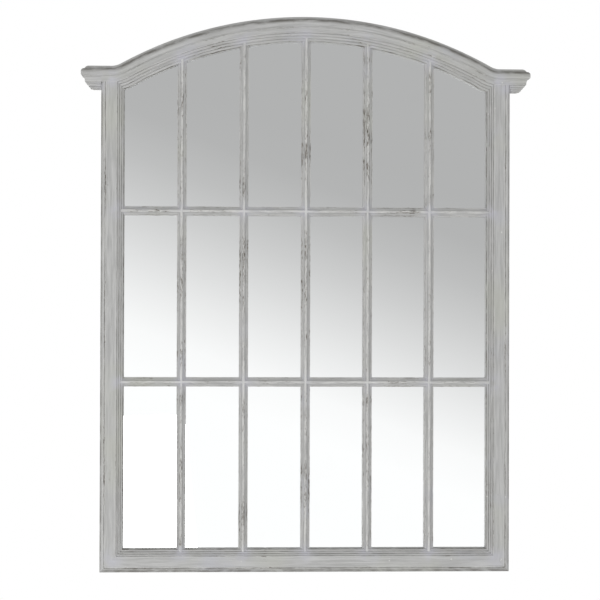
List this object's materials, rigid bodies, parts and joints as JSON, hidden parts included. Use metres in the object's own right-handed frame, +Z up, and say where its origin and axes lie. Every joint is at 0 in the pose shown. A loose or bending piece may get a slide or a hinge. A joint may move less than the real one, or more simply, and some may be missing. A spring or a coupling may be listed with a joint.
{
  "type": "arched window mirror",
  "caption": "Wall mirror shaped like a window with an arched, moulded head, eared cornice ends and glazing bars over mirror panes.",
  "frame": {"origin": "on the wall plane behind the mirror, on its centre line, halfway up", "axes": "+X to the viewer's right, front faces -Y, wall on the +Y side, +Z up"},
  "size_m": [1.214, 0.061, 1.4999],
  "materials": {
    "painted_wood": "matt pale grey paint, rubbed through at the edges",
    "mirror_glass": "polished",
    "fibreboard": "smooth board",
    "bare_wood": "planed",
    "zinc_steel": "zinc plated",
    "felt": "pressed felt"
  },
  "bodies": {
    "frame": {"backing_board": "fibreboard", "bottom_rail": "painted_wood", "bumper_lower_left": "felt", "bumper_lower_right": "felt", "bumper_upper_left": "felt", "bumper_upper_right": "felt", "crown_moulding": "painted_wood", "ear_left": "painted_wood", "ear_right": "painted_wood", "glazing_bar_lower": "painted_wood", "glazing_bar_upper": "painted_wood", "glazing_bar_upright_1": "painted_wood", "glazing_bar_upright_2": "painted_wood", "glazing_bar_upright_3": "painted_wood", "glazing_bar_upright_4": "painted_wood", "glazing_bar_upright_5": "painted_wood", "hanger_screws": "zinc_steel", "hanger_strap_left": "zinc_steel", "hanger_strap_right": "zinc_steel", "head_rail": "painted_wood", "mitre_spline_left": "bare_wood", "mitre_spline_right": "bare_wood", "pane_bottom_1": "mirror_glass", "pane_bottom_2": "mirror_glass", "pane_bottom_3": "mirror_glass", "pane_bottom_4": "mirror_glass", "pane_bottom_5": "mirror_glass", "pane_bottom_6": "mirror_glass", "pane_middle_1": "mirror_glass", "pane_middle_2": "mirror_glass", "pane_middle_3": "mirror_glass", "pane_middle_4": "mirror_glass", "pane_middle_5": "mirror_glass", "pane_middle_6": "mirror_glass", "pane_top_1": "mirror_glass", "pane_top_2": "mirror_glass", "pane_top_3": "mirror_glass", "pane_top_4": "mirror_glass", "pane_top_5": "mirror_glass", "pane_top_6": "mirror_glass", "staples": "zinc_steel", "stile_left": "painted_wood", "stile_right": "painted_wood"},
    "ring_left": {"hanger_ring_left": "zinc_steel"},
    "ring_right": {"hanger_ring_right": "zinc_steel"}
  },
  "joints": [
    {"name": "ring_left_hinge", "type": "hinge", "parent": "frame", "child": "ring_left", "pos_m": [-0.53425, -0.00365, 0.43], "axis": [1, 0, 0], "range_deg": [0, 175]},
    {"name": "ring_right_hinge", "type": "hinge", "parent": "frame", "child": "ring_right", "pos_m": [0.53425, -0.00365, 0.43], "axis": [1, 0, 0], "range_deg": [0, 175]}
  ]
}
